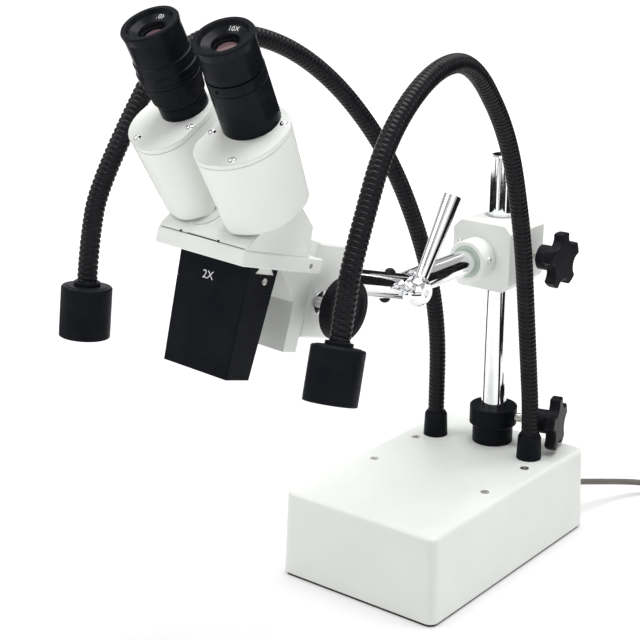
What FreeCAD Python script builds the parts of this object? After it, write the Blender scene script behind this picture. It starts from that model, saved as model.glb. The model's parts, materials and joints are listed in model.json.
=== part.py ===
"""Stereo microscope on a pillar stand, with two gooseneck lamps.

Millimetres.  The origin is on the pillar's axis at the table, +X to the right,
+Y to the back and +Z up.  Every function makes one sub-part or a few like ones.
"""
import FreeCAD, Part
import os
from math import acos, cos, pi, radians, sin, tan

Vector = FreeCAD.Vector
Rotation = FreeCAD.Rotation
Placement = FreeCAD.Placement
X_AXIS = Vector(1, 0, 0)
Y_AXIS = Vector(0, 1, 0)
Z_AXIS = Vector(0, 0, 1)

# Fits and gaps
RUNNING_FIT = 0.05
AIR_GAP = 0.3

# Base box
BASE_HALF_WIDTH = 68.5
BASE_FRONT_Y = -183.0
BASE_BACK_Y = 33.0
BASE_HEIGHT = 67.5
BASE_DRAFT = 2.0
BASE_CORNER_R = 7.0
BASE_TOP_EDGE_R = 4.0
BASE_WALL = 4.0
SOLE_HEIGHT = 2.5
SOLE_INSET = 1.5
SOLE_WIDTH = 9.0
TOP_SCREW_X = 50.5
TOP_SCREW_YS = (-91.0, -34.5)

# Pillar and its collars
PILLAR_R = 10.0
PILLAR_FOOT_Z = 48.5
PILLAR_TOP_Z = 299.5
PILLAR_GROOVE = (253.6, 254.2)
PILLAR_GROOVE_DEPTH = 0.3
SOCKET_R = 16.0
SOCKET_TOP_Z = 80.5
STOP_RING_R = 18.8
STOP_RING_TOP_Z = 97.5
LOWER_KNOB_Z = 89.5
LOWER_KNOB_YAW = 15.0

# Star knobs
STAR_R = 21.5
STAR_VALLEY_R = 8.5
STAR_VALLEY_REACH = 23.0
STAR_LOBES = 5
STAR_THICKNESS = 8.5
STUD_R = 3.5

# Pillar clamp and its boss
CLAMP_X = (-22.0, 28.0)
CLAMP_Y = (-32.0, 16.5)
CLAMP_Z = (201.5, 252.5)
CLAMP_CHAMFER = 6.0
BUSHING_R = 12.5
ARM_Z = 225.5
BOSS_R = 15.75
BOSS_FRONT_Y = -48.0
LINER_R = 12.0

# Arm: tubes, tilting knuckle and lever
ARM_ROLL = 3.0
HEAD_PITCH = -16.0
TUBE_R = 9.5
TUBE_BORE_R = 7.0
REAR_TUBE_START = -16.0
PIVOT_Y = -133.0
LUG_R = 12.0
SHOULDER = 12.5
LAP_GAP = 0.15
BOLT_R = 4.0
LEVER_LEAN = 31.4
LEVER_REACH = 72.0
LEVER_CENTRE_X = 14.0

# Focus block, rack and pinion, in the head's frame
BLOCK_HALF_WIDTH = 22.0
BLOCK_Y = (-135.0, -100.0)
BLOCK_Z = (-35.0, 26.0)
FRONT_TUBE_END = -116.0
PINION_Y = -124.4
PINION_Z = -11.3
GEAR_MODULE = 0.75
PINION_TEETH = 16
TOOTH_HALF = 0.46
TOOTH_FLANK = 0.36
FOCUS_SHAFT_R = 3.5
FOCUS_KNOB_R = 20.0
FOCUS_KNOB_X = (38.0, 47.0)

# Carriage, slab and optics housing, in the head's frame
PLATE_Y = (-149.0, -136.0)
PLATE_BOTTOM_Z = -44.3
SLAB_HALF_WIDTH = 35.0
SLAB_Y = (-221.0, -146.0)
SLAB_Z = (7.8, 17.3)
HOUSING_HALF_WIDTH = 34.5
HOUSING_WALL = 2.5
INCLINE_A = 169.0

# Objective box, in the head's frame
BOX_HALF_WIDTH = 27.5
BOX_Y = (-205.3, -177.9)
BOX_Z = (-61.5, 6.5)
BOX_TAPER_X = 2.2
BOX_TAPER_Y = 2.6
RAIL_Y = -190.0
LENS_X = 12.0

# Prism pods, in a pod's frame: u outward, v towards the back, w up the eye tube
POD_ORIGIN_X = 23.55
POD_ORIGIN_B = -99.0
POD_SPLAY = 2.0
POD_HEIGHT = 55.7
POD_DRAFT = 2.8
LID_THICKNESS = 3.2
POD_WALL = 2.0
POD_GAP = 2.2
POD_HINGE_U = -11.0
POD_HINGE_V = -25.0
SPIGOT_R = 6.0
RIM_W = 113.5

# Gooseneck lamps
NECK_R = 6.5
LAMP_R = 16.5
LAMP_LENGTH = 34.0
RIGHT_NECK = [
    [(42, -14, 68.5), (42, -14, 101.5), (42.6, -18, 120.5)],
    [(42.6, -18, 120.5), (44.6, -33, 192.5), (46.0, -47, 258.5), (49.5, -78, 333.5), (53.2, -108.5, 361)],
    [(53.2, -108.5, 361), (56.5, -136, 388.5), (63, -190, 391), (70, -247, 360.5), (73, -265, 335)],
    [(73, -265, 335), (76, -291, 289.5), (76.6, -296.5, 268.5), (78, -305, 243)],
]
LEFT_NECK = [
    [(-42.6, -18, 68.5), (-42.6, -18, 122.5)],
    [(-42.6, -18, 122.5), (-42.6, -18, 162.5), (-46, -40, 234.5), (-52.5, -78, 307.5), (-57.5, -104, 336.5)],
    [(-57.5, -104, 336.5), (-63, -129, 365.5), (-76, -184, 399.5), (-90, -245, 405.5), (-98, -280, 372.5)],
    [(-98, -280, 372.5), (-106, -315, 318.5), (-109, -324, 278.5), (-109.6, -327, 250.5)],
]

# Mains lead: route of the stretch that isn't coiled, then the coil
CORD_R = 2.5
GLAND_POINT = Vector(43.62, 33.0, 31.0)
CORD_ROUTE = [
    (50.0, 53.8, 25.6), (56.5, 75.0, 20.1), (64.5, 97.0, 14.8), (76.0, 117.0, 10.4),
    (92.0, 133.0, 6.0), (112.0, 140.5, 2.7), (132.0, 138.8, 2.7),
]
COIL_CENTRE = Vector(148.0, 168.0, 0.0)
COIL_MEAN_R = 27.5
COIL_BUNDLE = (20.6, 11.0)
PLUG_Y = 199.0


def box(x, y, z):
    """Box between the two values of each coordinate."""
    return Part.makeBox(x[1] - x[0], y[1] - y[0], z[1] - z[0], Vector(x[0], y[0], z[0]))


def rod(r, start, end):
    """Solid cylinder of radius r from start to end."""
    start, end = Vector(*start), Vector(*end)
    return Part.makeCylinder(r, (end - start).Length, start, end - start)


def taper(r_start, r_end, start, end):
    """Solid cone frustum from start to end."""
    start, end = Vector(*start), Vector(*end)
    return Part.makeCone(r_start, r_end, (end - start).Length, start, end - start)


def prism(points, direction):
    """Solid with the polygon's points, pushed along direction."""
    corners = [Vector(*p) for p in points]
    return Part.Face(Part.makePolygon(corners + corners[:1])).extrude(Vector(*direction))


def lathe(profile):
    """Solid of revolution about Z from (radius, height) points."""
    corners = [Vector(r, 0, z) for r, z in profile]
    return Part.Face(Part.makePolygon(corners + corners[:1])).revolve(Vector(), Z_AXIS, 360)


def join(shapes):
    """All the shapes as one solid."""
    return shapes[0].multiFuse(shapes[1:]).removeSplitter() if len(shapes) > 1 else shapes[0]


def group(shapes):
    """Separate solids kept side by side in one sub-part."""
    return Part.makeCompound(shapes)


def placed(shape, placement):
    """A copy of the shape moved by placement."""
    moved = shape.copy()
    moved.Placement = placement.multiply(moved.Placement)
    return moved


def mirrored(shape):
    """The shape mirrored left to right about its frame's own YZ plane."""
    return shape.mirror(Vector(), X_AXIS)


def save(shape, node):
    """Write one sub-part's STEP file."""
    if not shape.isValid():
        print("invalid:", node)
    shape.exportStep(f"parts/{node}.step")


# Frames of the arm, the head, the inclined face and the two pods
ARM = Placement(Vector(0, 0, ARM_Z), Rotation(Y_AXIS, ARM_ROLL))
HEAD = ARM.multiply(Placement(Vector(0, PIVOT_Y, 0), Rotation(X_AXIS, HEAD_PITCH)))
INCLINE = Placement(Vector(), Rotation(X_AXIS, 45))


def pod_frame(side):
    """Frame of the right (1) or left (-1) pod, inside the head's frame."""
    origin = Vector(side * POD_ORIGIN_X, POD_ORIGIN_B, INCLINE_A)
    return INCLINE.multiply(Placement(origin, Rotation(Y_AXIS, side * POD_SPLAY)))


def rounded_rectangle(x, y, z, r):
    """Closed wire of a rectangle with round corners at height z."""
    edges = []
    centres = [(x[1] - r, y[1] - r, 0), (x[0] + r, y[1] - r, 90), (x[0] + r, y[0] + r, 180), (x[1] - r, y[0] + r, 270)]
    arcs = [[Vector(cx + r * cos(radians(a)), cy + r * sin(radians(a)), z) for a in (turn, turn + 45, turn + 90)]
            for cx, cy, turn in centres]
    for i, points in enumerate(arcs):
        edges.append(Part.Arc(*points).toShape())
        edges.append(Part.LineSegment(points[2], arcs[(i + 1) % 4][0]).toShape())
    return Part.Wire(edges)


def drafted_box(inset, z_low, z_high):
    """The base's outline, inset by a wall, between two heights, with its draft."""
    wires = []
    for z in (z_low, z_high):
        lean = inset + BASE_DRAFT * (z - SOLE_HEIGHT) / (BASE_HEIGHT - SOLE_HEIGHT)
        x = (-BASE_HALF_WIDTH + lean, BASE_HALF_WIDTH - lean)
        y = (BASE_FRONT_Y + lean, BASE_BACK_Y - lean)
        wires.append(rounded_rectangle(x, y, z, BASE_CORNER_R - inset / 2))
    return Part.makeLoft(wires, True, True)


ROCKER_X = -32.0
ROCKER_Z = 36.5
ROCKER_R = 8.5
ROCKER_HALF_LENGTH = 9.5
ROCKER_AXIS_Y = BASE_BACK_Y - 6.5


def rocker_cylinder(r, half_length):
    """The rocker's swept cylinder."""
    start = (ROCKER_X - half_length, ROCKER_AXIS_Y, ROCKER_Z)
    return rod(r, start, (ROCKER_X + half_length, ROCKER_AXIS_Y, ROCKER_Z))


def make_base():
    """Painted housing with screw posts, rubber sole, ballast plate and top screws."""
    outer = drafted_box(0, SOLE_HEIGHT, BASE_HEIGHT)
    top_edges = [e for e in outer.Edges if min(v.Z for v in e.Vertexes) > BASE_HEIGHT - 0.01]
    outer = outer.makeFillet(BASE_TOP_EDGE_R, top_edges)
    ceiling = BASE_HEIGHT - BASE_WALL
    housing = outer.cut(drafted_box(BASE_WALL, SOLE_HEIGHT - 1, ceiling))
    screw_spots = [(side * TOP_SCREW_X, y) for side in (-1, 1) for y in TOP_SCREW_YS]
    posts = [rod(5, (x, y, ceiling - 14), (x, y, ceiling + 1)) for x, y in screw_spots]
    housing = join([housing] + posts)
    screws = []
    for x, y in screw_spots:
        shank = rod(2, (x, y, ceiling - 12), (x, y, BASE_HEIGHT - 2))
        head = taper(2, 3.4, (x, y, BASE_HEIGHT - 1.4), (x, y, BASE_HEIGHT))
        screw = join([shank, head])
        housing = housing.cut(screw)
        socket = prism([(x + 1.5 * cos(pi * k / 3), y + 1.5 * sin(pi * k / 3), BASE_HEIGHT - 1.4) for k in range(6)],
                       (0, 0, 2))
        screws.append(screw.cut(socket))
    housing = housing.cut(rod(12, (0, 0, ceiling - 2), (0, 0, BASE_HEIGHT + 1)))
    housing = housing.cut(rocker_cylinder(ROCKER_R + AIR_GAP, ROCKER_HALF_LENGTH + AIR_GAP))
    gland_inside = GLAND_POINT - Vector(0, 8, 0)
    housing = housing.cut(rod(5, gland_inside, GLAND_POINT + Vector(0, 1, 0)))
    save(housing, "base_housing")
    save(group(screws), "base_screws")

    edge_x = BASE_HALF_WIDTH - SOLE_INSET
    edge_y = (BASE_FRONT_Y + SOLE_INSET, BASE_BACK_Y - SOLE_INSET)
    rim = rounded_rectangle((-edge_x, edge_x), edge_y, 0, BASE_CORNER_R - 1)
    hole_x = edge_x - SOLE_WIDTH
    hole = rounded_rectangle((-hole_x, hole_x), (edge_y[0] + SOLE_WIDTH, edge_y[1] - SOLE_WIDTH), 0, 3)
    depth = Vector(0, 0, SOLE_HEIGHT)
    sole = Part.Face(rim).extrude(depth).cut(Part.Face(hole).extrude(depth))
    save(sole, "rubber_sole")

    plate_inset = BASE_WALL + 2.5
    plate_x = BASE_HALF_WIDTH - plate_inset
    plate = box((-plate_x, plate_x), (BASE_FRONT_Y + plate_inset, BASE_BACK_Y - plate_inset),
                (SOLE_HEIGHT, SOLE_HEIGHT + 3))
    block = box((-44, 44), (BASE_FRONT_Y + 12, -62), (SOLE_HEIGHT + 2, BASE_HEIGHT - 9))
    save(join([plate, block]), "ballast_plate")

    drum = rocker_cylinder(ROCKER_R, ROCKER_HALF_LENGTH)
    face_y = BASE_BACK_Y + 1.2
    dish = [(ROCKER_X - 12, face_y + 3, ROCKER_Z + 9), (ROCKER_X - 12, face_y + 1.4, ROCKER_Z + 9),
            (ROCKER_X - 12, face_y - 1.2, ROCKER_Z), (ROCKER_X - 12, face_y + 1.4, ROCKER_Z - 9),
            (ROCKER_X - 12, face_y + 3, ROCKER_Z - 9)]
    save(drum.cut(prism(dish, (24, 0, 0))), "switch_rocker")


def make_pillar():
    """Socket ring on the base, chrome pillar and the sliding stop ring."""
    socket = join([rod(SOCKET_R, (0, 0, BASE_HEIGHT), (0, 0, SOCKET_TOP_Z)),
                   rod(12, (0, 0, BASE_HEIGHT - 6), (0, 0, BASE_HEIGHT))])
    save(socket.cut(rod(PILLAR_R, (0, 0, PILLAR_FOOT_Z), (0, 0, 90))), "pillar_socket")
    pillar = rod(PILLAR_R, (0, 0, PILLAR_FOOT_Z), (0, 0, PILLAR_TOP_Z))
    top_edge = [e for e in pillar.Edges if min(v.Z for v in e.Vertexes) > PILLAR_TOP_Z - 0.01]
    pillar = pillar.makeChamfer(1.2, top_edge)
    groove = rod(PILLAR_R + 1, (0, 0, PILLAR_GROOVE[0]), (0, 0, PILLAR_GROOVE[1]))
    groove = groove.cut(rod(PILLAR_R - PILLAR_GROOVE_DEPTH, (0, 0, PILLAR_FOOT_Z), (0, 0, PILLAR_TOP_Z)))
    save(pillar.cut(groove), "pillar")
    ring_low = SOCKET_TOP_Z + AIR_GAP
    ring = rod(STOP_RING_R, (0, 0, ring_low), (0, 0, STOP_RING_TOP_Z))
    for chamfer, z in ((2.2, ring_low), (0.6, STOP_RING_TOP_Z)):
        rim = [e for e in ring.Edges if isinstance(e.Curve, Part.Circle) and abs(e.Curve.Center.z - z) < 0.1]
        ring = ring.makeChamfer(chamfer, rim)
    ring = ring.cut(rod(PILLAR_R + RUNNING_FIT, (0, 0, 60), (0, 0, 120)))
    bore = placed(rod(STUD_R + RUNNING_FIT, (5, 0, 0), (30, 0, 0)),
                  Placement(Vector(0, 0, LOWER_KNOB_Z), Rotation(Z_AXIS, LOWER_KNOB_YAW)))
    save(ring.cut(bore), "stop_ring")


def star_knob(hub_start, star_start):
    """Five-lobed hand knob along +X: hub first, then the star."""
    end = star_start + STAR_THICKNESS
    star = rod(STAR_R, (star_start, 0, 0), (end, 0, 0))
    for k in range(STAR_LOBES):
        turn = 2 * pi * (k + 0.5) / STAR_LOBES + pi / 2
        y, z = STAR_VALLEY_REACH * cos(turn), STAR_VALLEY_REACH * sin(turn)
        star = star.cut(rod(STAR_VALLEY_R, (star_start - 1, y, z), (end + 1, y, z)))
    star = star.makeFillet(1.5, star.Edges)
    hub = rod(9.5, (hub_start, 0, 0), (star_start + 1, 0, 0))
    knob = join([star, hub])
    return knob.cut(rod(STUD_R, (hub_start - 1, 0, 0), (star_start + 5, 0, 0)))


def stud(start, end):
    """Threaded stud along +X with a chamfered tip at its start."""
    return join([taper(STUD_R - 1, STUD_R, (start, 0, 0), (start + 1, 0, 0)), rod(STUD_R, (start + 1, 0, 0), (end, 0, 0))])


def make_knobs():
    """Star knob and stud of the stop ring and of the pillar clamp."""
    low = Placement(Vector(0, 0, LOWER_KNOB_Z), Rotation(Z_AXIS, LOWER_KNOB_YAW))
    save(placed(star_knob(34.5, 46.5), low), "lower_knob")
    save(placed(stud(PILLAR_R + AIR_GAP, 51), low), "lower_knob_stud")
    high = Placement(Vector(0, 0, ARM_Z), Rotation())
    save(placed(star_knob(36.5, 48.5), high), "upper_knob")
    save(placed(stud(BUSHING_R + AIR_GAP, 53), high), "upper_knob_stud")


def make_clamp():
    """Pillar clamp block with its boss, plain bushing, liner and set screws."""
    (x0, x1), (y0, y1), (z0, z1), c = CLAMP_X, CLAMP_Y, CLAMP_Z, CLAMP_CHAMFER
    front = [(x0 + c, y0, z0), (x1 - c, y0, z0), (x1, y0, z0 + c), (x1, y0, z1 - c),
             (x1 - c, y0, z1), (x0 + c, y0, z1), (x0, y0, z1 - c), (x0, y0, z0 + c)]
    side = [(x0, y0, z0), (x0, y1 - c, z0), (x0, y1, z0 + c), (x0, y1, z1 - c), (x0, y1 - c, z1), (x0, y0, z1)]
    block = prism(front, (0, y1 - y0, 0)).common(prism(side, (x1 - x0, 0, 0)))
    boss = rod(BOSS_R, (0, y0 + 1, ARM_Z), (0, BOSS_FRONT_Y, ARM_Z))
    rim = [e for e in boss.Edges if isinstance(e.Curve, Part.Circle) and e.Curve.Center.y < BOSS_FRONT_Y + 0.1]
    block = join([block, boss.makeFillet(1.2, rim)])
    block = block.cut(rod(BUSHING_R + RUNNING_FIT, (0, 0, z0 - 1), (0, 0, z1 + 1)))
    block = block.cut(rod(LINER_R + RUNNING_FIT, (0, BOSS_FRONT_Y - 1, ARM_Z), (0, -15, ARM_Z)))
    block = block.cut(rod(STUD_R + RUNNING_FIT, (5, 0, ARM_Z), (x1 + 1, 0, ARM_Z)))
    screws = []
    for turn in (8, 128, 248):
        out = Vector(cos(radians(turn)), 0, sin(radians(turn)))
        centre = Vector(0, BOSS_FRONT_Y + 6.5, ARM_Z)
        screw = rod(2.5, centre + out * (LINER_R + AIR_GAP), centre + out * (BOSS_R + 1.8))
        block = block.cut(screw)
        screws.append(screw.cut(rod(1.3, centre + out * (BOSS_R - 0.5), centre + out * (BOSS_R + 3))))
    save(block, "clamp_block")
    save(group(screws), "boss_screws")
    bushing = rod(BUSHING_R, (0, 0, z0 + 0.5), (0, 0, z1 - 0.5))
    save(bushing.cut(rod(PILLAR_R + RUNNING_FIT, (0, 0, z0), (0, 0, z1))), "clamp_bushing")
    liner = rod(LINER_R, (0, BOSS_FRONT_Y - 0.6, ARM_Z), (0, REAR_TUBE_START, ARM_Z))
    save(liner.cut(rod(TUBE_R + RUNNING_FIT, (0, -60, ARM_Z), (0, 0, ARM_Z))), "boss_liner")


def make_arm():
    """Rear tube, front tube with its cross pin, and the clamping lever."""
    half_room = 20
    pivot = (0, PIVOT_Y, 0)
    side_cut = box((LAP_GAP - 0.3, half_room), (-40, SHOULDER), (-half_room, half_room))
    tube = rod(TUBE_R, (0, REAR_TUBE_START - PIVOT_Y, 0), (0, -LUG_R, 0)).cut(side_cut)
    round_end = rod(LUG_R, (-half_room, 0, 0), (half_room, 0, 0))
    end_block = box((-half_room, half_room), (-40, 0), (-half_room, half_room)).cut(round_end)
    bore = rod(TUBE_BORE_R, (0, 28, 0), (0, 140, 0))
    bolt_hole = rod(BOLT_R + RUNNING_FIT, (-half_room, 0, 0), (half_room, 0, 0))
    nut_flat = rod(8.6, (-half_room, 0, 0), (-8.5, 0, 0))
    rear = tube.cut(end_block).cut(bore).cut(bolt_hole).cut(nut_flat)
    rear_place = ARM.multiply(Placement(Vector(*pivot), Rotation()))
    save(placed(rear, rear_place), "rear_tube")

    tube = rod(TUBE_R, (0, LUG_R, 0), (0, FRONT_TUBE_END, 0))
    left_half = box((-half_room, LAP_GAP), (-SHOULDER, 40), (-half_room, half_room))
    end_block = box((-half_room, half_room), (0, 40), (-half_room, half_room)).cut(round_end)
    bore = rod(TUBE_BORE_R, (0, -30, 0), (0, FRONT_TUBE_END - 1, 0))
    lever_flat = rod(10.6, (8.5, 0, 0), (half_room, 0, 0))
    pin_hole = rod(2.5, (0, -16.5, -half_room), (0, -16.5, half_room))
    front = tube.cut(left_half).cut(end_block).cut(bore).cut(bolt_hole).cut(lever_flat).cut(pin_hole)
    save(placed(front, HEAD), "front_tube")
    dome = Part.makeSphere(4.2, Vector(0, -16.5, 8.2)).fuse(Part.makeSphere(4.2, Vector(0, -16.5, -8.2)))
    dome = dome.cut(rod(TUBE_R, (0, -30, 0), (0, 0, 0)))
    pin = join([dome, rod(2.5, (0, -16.5, -11), (0, -16.5, 11))])
    save(placed(pin, HEAD), "cross_pin")

    ball = Part.makeSphere(11, Vector(LEVER_CENTRE_X, 0, 0))
    ball = ball.common(box((8.8, 22.6), (-15, 15), (-15, 15)))
    lean = radians(LEVER_LEAN)
    tip = (LEVER_CENTRE_X, LEVER_REACH * sin(lean), LEVER_REACH * cos(lean))
    handle = taper(4.0, 6.5, (LEVER_CENTRE_X, 0, 0), tip)
    bolt = rod(BOLT_R, (-12, 0, 0), (10, 0, 0))
    nut = rod(7.0, (-12.5, 0, 0), (-8.8, 0, 0))
    socket = prism([(21, 3 * cos(pi * k / 3), 3 * sin(pi * k / 3)) for k in range(6)], (3, 0, 0))
    lever = join([ball, handle, bolt, nut]).cut(socket)
    save(placed(lever, rear_place), "lever")


def rack_profile(gap):
    """The steel slide's dovetail section across the head, widened by gap."""
    return [(-9 - gap, PLATE_Y[1], 0), (9 + gap, PLATE_Y[1], 0), (12 + gap, -128.8 + gap, 0), (-12 - gap, -128.8 + gap, 0)]


def pinion():
    """Focus shaft with its pinion teeth, along X at the origin."""
    pitch_r = GEAR_MODULE * PINION_TEETH / 2
    root_r, tip_r = pitch_r - 0.8, pitch_r + 0.6
    shape = [rod(root_r, (-8, 0, 0), (8, 0, 0)), rod(FOCUS_SHAFT_R, (-FOCUS_KNOB_X[0] - 5, 0, 0), (FOCUS_KNOB_X[0] + 5, 0, 0))]
    for k in range(PINION_TEETH):
        root_half = TOOTH_HALF + 0.8 * TOOTH_FLANK
        tip_half = TOOTH_HALF - 0.6 * TOOTH_FLANK
        tooth = prism([(-8, -root_r + 0.5, -root_half), (-8, -root_r, -root_half), (-8, -tip_r, -tip_half),
                       (-8, -tip_r, tip_half), (-8, -root_r, root_half), (-8, -root_r + 0.5, root_half)], (16, 0, 0))
        shape.append(placed(tooth, Placement(Vector(), Rotation(X_AXIS, 360 * k / PINION_TEETH))))
    return join(shape)


def make_focus():
    """Focus block, bushings, pinion shaft, knobs, and the rack on its dovetail slide."""
    w = BLOCK_HALF_WIDTH
    block = box((-w, w), BLOCK_Y, BLOCK_Z)
    long_edges = [e for e in block.Edges if abs(e.tangentAt(e.FirstParameter).x) < 0.5]
    block = block.makeChamfer(1.5, long_edges)
    block = block.cut(rod(TUBE_R, (0, FRONT_TUBE_END, 0), (0, BLOCK_Y[1] + 1, 0)))
    groove = placed(prism(rack_profile(0.08), (0, 0, 100)), Placement(Vector(0, 0, -50), Rotation()))
    block = block.cut(groove)
    block = block.cut(rod(7.2, (-9, PINION_Y, PINION_Z), (9, PINION_Y, PINION_Z)))
    bushings = []
    for side in (-1, 1):
        sleeve = rod(5.5, (side * 12, PINION_Y, PINION_Z), (side * w, PINION_Y, PINION_Z))
        flange = rod(7.5, (side * w, PINION_Y, PINION_Z), (side * (w + 3), PINION_Y, PINION_Z))
        block = block.cut(sleeve)
        bore = rod(FOCUS_SHAFT_R + RUNNING_FIT, (side * 8, PINION_Y, PINION_Z), (side * (w + 4), PINION_Y, PINION_Z))
        block = block.cut(bore)
        bushings.append(join([sleeve, flange]).cut(bore))
    save(placed(block, HEAD), "focus_block")
    save(placed(group(bushings), HEAD), "focus_bushings")
    shaft_place = HEAD.multiply(Placement(Vector(0, PINION_Y, PINION_Z), Rotation()))
    save(placed(pinion(), shaft_place), "focus_shaft")
    hub_x = w + 8
    disc = lathe([(0, FOCUS_KNOB_X[0]), (FOCUS_KNOB_R - 1, FOCUS_KNOB_X[0]), (FOCUS_KNOB_R, FOCUS_KNOB_X[0] + 1),
                  (FOCUS_KNOB_R, FOCUS_KNOB_X[1] - 1), (FOCUS_KNOB_R - 1, FOCUS_KNOB_X[1]),
                  (14, FOCUS_KNOB_X[1]), (13, FOCUS_KNOB_X[1] - 1), (0, FOCUS_KNOB_X[1] - 1)])
    knob = join([disc, rod(8, (0, 0, hub_x), (0, 0, FOCUS_KNOB_X[0]))])
    knob = knob.cut(rod(FOCUS_SHAFT_R, (0, 0, hub_x - 1), (0, 0, FOCUS_KNOB_X[0] + 5)))
    knob = placed(knob, Placement(Vector(), Rotation(Y_AXIS, 90)))
    save(placed(knob, shaft_place), "focus_knob_right")
    save(placed(mirrored(knob), shaft_place), "focus_knob_left")

    slide = placed(prism(rack_profile(0), (0, 0, BLOCK_Z[1] - PLATE_BOTTOM_Z)), Placement(Vector(0, 0, PLATE_BOTTOM_Z), Rotation()))
    pitch_y = PINION_Y - GEAR_MODULE * PINION_TEETH / 2
    slide = slide.cut(box((-9.0, 9.0), (pitch_y - 0.9, -128), (PLATE_BOTTOM_Z - 1, BLOCK_Z[1] + 1)))
    tooth_step = pi * GEAR_MODULE
    teeth = []
    for k in range(-13, 13):
        z = PINION_Z + (k + 0.5) * tooth_step
        root_half = TOOTH_HALF + 0.9 * TOOTH_FLANK
        tip_half = TOOTH_HALF - 0.55 * TOOTH_FLANK
        teeth.append(prism([(-7.5, pitch_y - 1.2, z - root_half), (-7.5, pitch_y - 0.9, z - root_half),
                            (-7.5, pitch_y + 0.55, z - tip_half), (-7.5, pitch_y + 0.55, z + tip_half),
                            (-7.5, pitch_y - 0.9, z + root_half), (-7.5, pitch_y - 1.2, z + root_half)], (15, 0, 0)))
    save(placed(join([slide] + teeth), HEAD), "rack_slide")


def make_carriage():
    """Carriage plate with its gusset, slab with the objective rail, and optics housing."""
    y0, y1 = PLATE_Y
    top = SLAB_Z[0]
    profile = [(-22, y1, top), (-22, -167.5, top), (-22, -167.5, top - 2.1), (-22, y0, -13), (-22, y0, PLATE_BOTTOM_Z),
               (-22, y1, PLATE_BOTTOM_Z)]
    save(placed(prism(profile, (44, 0, 0)), HEAD), "carriage_plate")

    slab = box((-SLAB_HALF_WIDTH, SLAB_HALF_WIDTH), SLAB_Y, SLAB_Z)
    slab = slab.makeChamfer(0.8, slab.Edges)
    rail = placed(prism(rail_profile(0), (2 * BOX_HALF_WIDTH - 1, 0, 0)), Placement(Vector(0.5 - BOX_HALF_WIDTH, 0, 0), Rotation()))
    slab = join([slab, rail])
    for side in (-1, 1):
        slab = slab.cut(rod(7, (side * LENS_X, RAIL_Y, 0), (side * LENS_X, RAIL_Y, 20)))
    slab = slab.cut(rod(1.6, (SLAB_HALF_WIDTH - 6, -157, 12.3), (SLAB_HALF_WIDTH + 1, -157, 12.3)))
    save(placed(slab, HEAD), "head_slab")

    outline = [(-219.5, SLAB_Z[1]), (-219.5, 19.4), (-186.2, 52.8), (-163, 36), (-161, SLAB_Z[1])]
    wire = Part.makePolygon([Vector(0, y, z) for y, z in outline + outline[:1]])
    outer = Part.Face(wire).extrude(Vector(2 * HOUSING_HALF_WIDTH, 0, 0))
    inner = Part.Face(wire.makeOffset2D(-HOUSING_WALL)).extrude(Vector(2 * (HOUSING_HALF_WIDTH - HOUSING_WALL), 0, 0))
    outer = placed(outer, Placement(Vector(-HOUSING_HALF_WIDTH, 0, 0), Rotation()))
    inner = placed(inner, Placement(Vector(HOUSING_WALL - HOUSING_HALF_WIDTH, 0, 0), Rotation()))
    housing = outer.cut(inner)
    for side in (-1, 1):
        seat = placed(rod(12, (side * POD_HINGE_U, POD_HINGE_V, -2), (side * POD_HINGE_U, POD_HINGE_V, 3)), pod_frame(side))
        housing = join([housing, seat.common(placed(box((-60, 60), (-170, -60), (160, INCLINE_A + 0.5)), INCLINE))])
    for side in (-1, 1):
        bore = rod(SPIGOT_R + RUNNING_FIT, (side * POD_HINGE_U, POD_HINGE_V, -8), (side * POD_HINGE_U, POD_HINGE_V, 6))
        housing = housing.cut(placed(bore, pod_frame(side)))
        housing = housing.cut(rod(7, (side * LENS_X, RAIL_Y, SLAB_Z[1] - 1), (side * LENS_X, RAIL_Y, SLAB_Z[1] + 4)))
    save(placed(housing, HEAD), "optics_housing")


def rail_profile(gap):
    """Dovetail under the slab, wider at its foot, widened by gap, as YZ points."""
    foot = BOX_Z[1] - 3.2 - gap
    top = SLAB_Z[0] + 0.2
    return [(0, RAIL_Y - 6.1 - gap, top), (0, RAIL_Y - 6.1 - gap, BOX_Z[1]), (0, RAIL_Y - 9.0 - gap, foot),
            (0, RAIL_Y + 9.0 + gap, foot), (0, RAIL_Y + 6.1 + gap, BOX_Z[1]), (0, RAIL_Y + 6.1 + gap, top)]


def box_loft(inset, z_low, z_high):
    """The objective box's tapered outline, inset by a wall, between two heights."""
    wires = []
    for z in (z_low, z_high):
        share = (BOX_Z[1] - z) / (BOX_Z[1] - BOX_Z[0])
        x = BOX_HALF_WIDTH - share * BOX_TAPER_X - inset
        y = (BOX_Y[0] + share * BOX_TAPER_Y + inset, BOX_Y[1] - share * BOX_TAPER_Y - inset)
        wires.append(rounded_rectangle((-x, x), y, z, 1.2))
    return Part.makeLoft(wires, True, True)


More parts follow.
